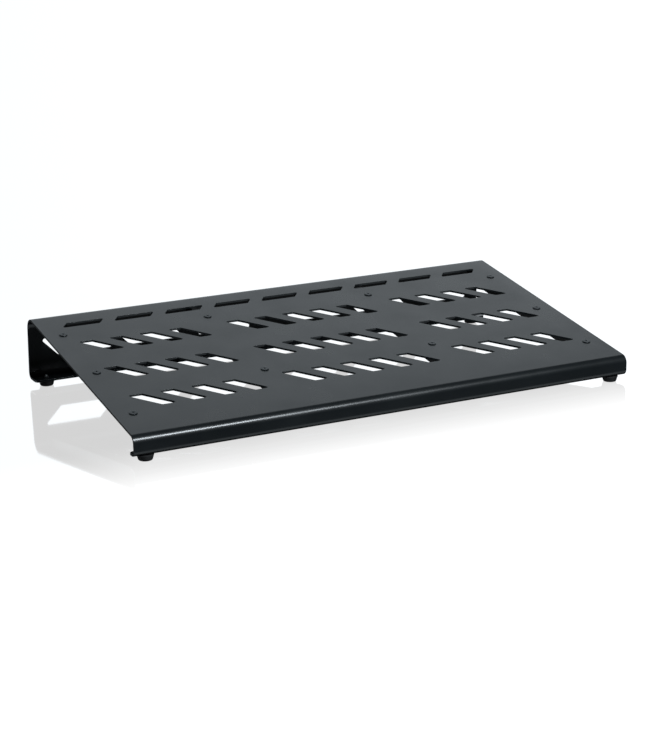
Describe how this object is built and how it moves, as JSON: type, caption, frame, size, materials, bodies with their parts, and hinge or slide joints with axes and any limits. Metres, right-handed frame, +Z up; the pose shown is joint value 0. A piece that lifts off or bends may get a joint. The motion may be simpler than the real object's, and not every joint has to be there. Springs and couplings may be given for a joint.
{
  "type": "pedalboard",
  "caption": "Sloping pedalboard: a folded sheet-metal deck with slanted slots, a front lip and an open rear wall, on ribs and rubber feet.",
  "frame": {"origin": "on the floor, under the middle of the board's footprint", "axes": "+X to the player's right, +Y to the rear, which is the high side, +Z up"},
  "size_m": [0.8128, 0.4482, 0.1082],
  "materials": {
    "deck_paint": "fine-textured satin powder coat, dark cool grey that looks black where it turns from the light",
    "rib_paint": "satin black powder coat",
    "black_steel": "blackened steel",
    "zinc_steel": "bright zinc plate",
    "foot_rubber": "matte black moulded rubber"
  },
  "bodies": {
    "root": {"deck_plate": "deck_paint", "rib_left": "rib_paint", "rib_inner_left": "rib_paint", "rib_inner_right": "rib_paint", "rib_right": "rib_paint", "deck_screw_left_1": "black_steel", "deck_screw_left_2": "black_steel", "deck_screw_left_3": "black_steel", "deck_screw_inner_left_1": "black_steel", "deck_screw_inner_left_2": "black_steel", "deck_screw_inner_right_1": "black_steel", "deck_screw_inner_right_2": "black_steel", "deck_screw_right_1": "black_steel", "deck_screw_right_2": "black_steel", "deck_screw_right_3": "black_steel", "deck_nut_left_1": "zinc_steel", "deck_nut_left_2": "zinc_steel", "deck_nut_left_3": "zinc_steel", "deck_nut_inner_left_1": "zinc_steel", "deck_nut_inner_left_2": "zinc_steel", "deck_nut_inner_right_1": "zinc_steel", "deck_nut_inner_right_2": "zinc_steel", "deck_nut_right_1": "zinc_steel", "deck_nut_right_2": "zinc_steel", "deck_nut_right_3": "zinc_steel", "foot_front_left": "foot_rubber", "foot_front_right": "foot_rubber", "foot_rear_left": "foot_rubber", "foot_rear_right": "foot_rubber", "foot_washer_front_left": "zinc_steel", "foot_washer_front_right": "zinc_steel", "foot_washer_rear_left": "zinc_steel", "foot_washer_rear_right": "zinc_steel", "foot_screw_front_left": "zinc_steel", "foot_screw_front_right": "zinc_steel", "foot_screw_rear_left": "zinc_steel", "foot_screw_rear_right": "zinc_steel", "foot_nut_front_left": "zinc_steel", "foot_nut_front_right": "zinc_steel", "foot_nut_rear_left": "zinc_steel", "foot_nut_rear_right": "zinc_steel"}
  },
  "joints": []
}
